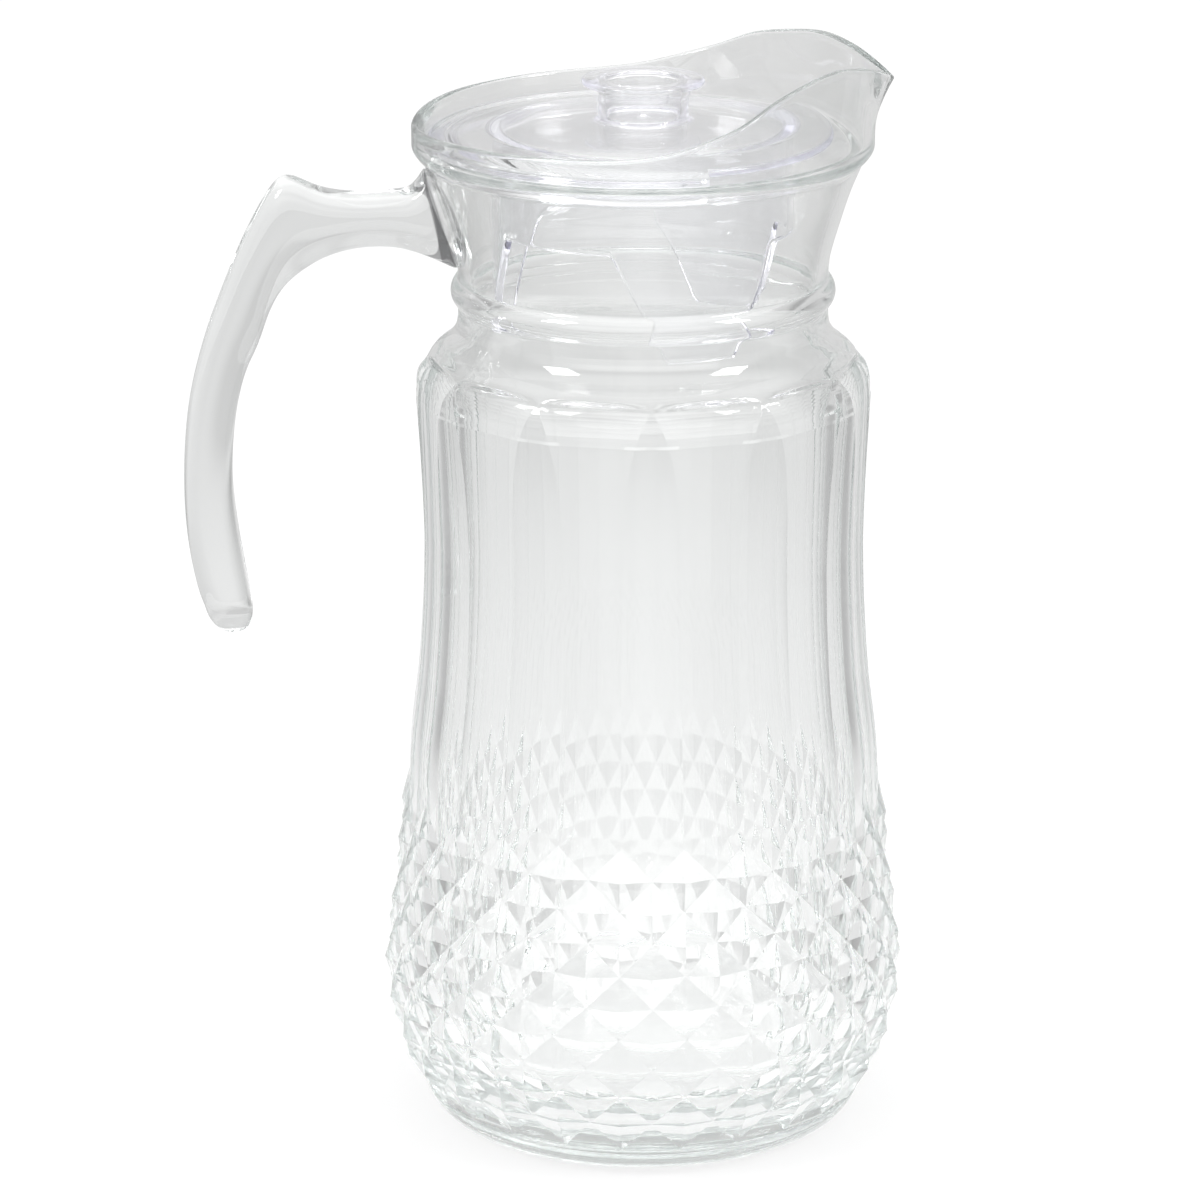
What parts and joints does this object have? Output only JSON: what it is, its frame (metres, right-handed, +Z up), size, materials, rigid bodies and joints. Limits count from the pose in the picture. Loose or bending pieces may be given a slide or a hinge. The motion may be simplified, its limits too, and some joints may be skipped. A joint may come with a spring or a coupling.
{
  "type": "glass pitcher with lid",
  "caption": "Glass pitcher with a diamond-cut bulb, fluted waist, flared collar, pinched pouring lip, open handle and a lift-off clear lid with a knob.",
  "frame": {"origin": "centre of the flat face that the jug stands on, on the jug's axis", "axes": "+Z up along the jug's axis, +X towards the pouring lip, -X towards the handle"},
  "size_m": [0.1821, 0.1332, 0.2765],
  "materials": {
    "pressed_glass": "clear pressed glass, fire-polished",
    "lid_plastic": "clear moulded plastic with a faint violet tint"
  },
  "bodies": {
    "jug": {"jug_body": "pressed_glass", "handle": "pressed_glass"},
    "lid": {"lid": "lid_plastic"}
  },
  "joints": [
    {"name": "lid_lift", "type": "slide", "parent": "jug", "child": "lid", "axis": [0, 0, 1], "range_m": [0, 0.08]}
  ]
}
